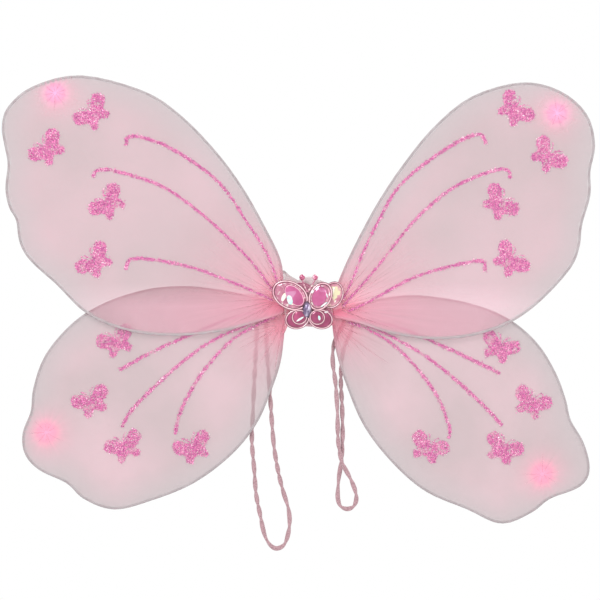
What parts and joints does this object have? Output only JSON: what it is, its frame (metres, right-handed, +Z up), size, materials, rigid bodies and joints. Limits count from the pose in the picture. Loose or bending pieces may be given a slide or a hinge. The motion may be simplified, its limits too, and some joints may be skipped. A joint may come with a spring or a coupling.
{
  "type": "fairy wings",
  "caption": "Costume butterfly wings of sheer nylon stretched over wire loops, with glitter print, a jewelled centre and elastic shoulder loops.",
  "frame": {"origin": "on the flat face of the felt pad that rests on the wearer's back, level with the jewel's middle", "axes": "+X to the right across the span as seen from behind the wearer, +Z up, +Y out of the pad's face towards the wearer's back"},
  "size_m": [0.5016, 0.0253, 0.4026],
  "materials": {
    "coated_wire": "satin",
    "wing_nylon": "matte",
    "tie_thread": "matte",
    "glitter": "gloss",
    "binding_wire": "satin",
    "wrap_nylon": "matte",
    "felt": "matte",
    "jewel_setting": "gloss",
    "jewel_rear_gem": "gloss",
    "jewel_gem": "gloss",
    "body_stone": "polished",
    "bead": "gloss",
    "elastic": "matte"
  },
  "bodies": {
    "centre": {"wire_stems": "coated_wire", "stem_binding": "binding_wire", "centre_wrap": "wrap_nylon", "back_pad": "felt", "rear_jewel_plate": "jewel_setting", "rear_jewel_domes": "jewel_rear_gem", "front_jewel_plate": "jewel_setting", "front_upper_domes": "jewel_gem", "front_lower_domes": "jewel_gem", "body_gem": "body_stone", "antenna_stalks": "jewel_setting", "antenna_beads": "bead"},
    "left_upper_wing": {"left_upper_wire": "coated_wire", "left_upper_cover": "wing_nylon", "left_upper_tip_tie": "tie_thread", "left_upper_butterflies": "glitter", "left_upper_veins": "glitter"},
    "right_upper_wing": {"right_upper_wire": "coated_wire", "right_upper_cover": "wing_nylon", "right_upper_tip_tie": "tie_thread", "right_upper_butterflies": "glitter", "right_upper_veins": "glitter"},
    "left_lower_wing": {"left_lower_wire": "coated_wire", "left_lower_cover": "wing_nylon", "left_lower_tip_tie": "tie_thread", "left_lower_butterflies": "glitter", "left_lower_veins": "glitter", "left_strap_knots": "elastic"},
    "right_lower_wing": {"right_lower_wire": "coated_wire", "right_lower_cover": "wing_nylon", "right_lower_tip_tie": "tie_thread", "right_lower_butterflies": "glitter", "right_lower_veins": "glitter", "right_strap_knots": "elastic"},
    "left_strap_loop": {"left_strap": "elastic"},
    "right_strap_loop": {"right_strap": "elastic"}
  },
  "joints": [
    {"name": "left_fold", "type": "hinge", "parent": "centre", "child": "left_lower_wing", "pos_m": [-0.02, -0.0083, 0], "axis": [0, 0, -1], "range_deg": [-15, 80]},
    {"name": "left_upper_swivel", "type": "hinge", "parent": "left_lower_wing", "child": "left_upper_wing", "pos_m": [-0.02, -0.0083, 0.001], "axis": [0, 1, 0], "range_deg": [-25, 12]},
    {"name": "left_strap_swing", "type": "hinge", "parent": "left_lower_wing", "child": "left_strap_loop", "pos_m": [-0.04, -0.0014, 0.007], "axis": [-1, 0, 0], "range_deg": [-90, 0]},
    {"name": "right_fold", "type": "hinge", "parent": "centre", "child": "right_lower_wing", "pos_m": [0.02, -0.0083, 0], "axis": [0, 0, 1], "range_deg": [-15, 80]},
    {"name": "right_upper_swivel", "type": "hinge", "parent": "right_lower_wing", "child": "right_upper_wing", "pos_m": [0.02, -0.0083, 0.001], "axis": [0, -1, 0], "range_deg": [-25, 12]},
    {"name": "right_strap_swing", "type": "hinge", "parent": "right_lower_wing", "child": "right_strap_loop", "pos_m": [0.0345, -0.0014, 0], "axis": [-1, 0, 0], "range_deg": [-90, 0]}
  ]
}
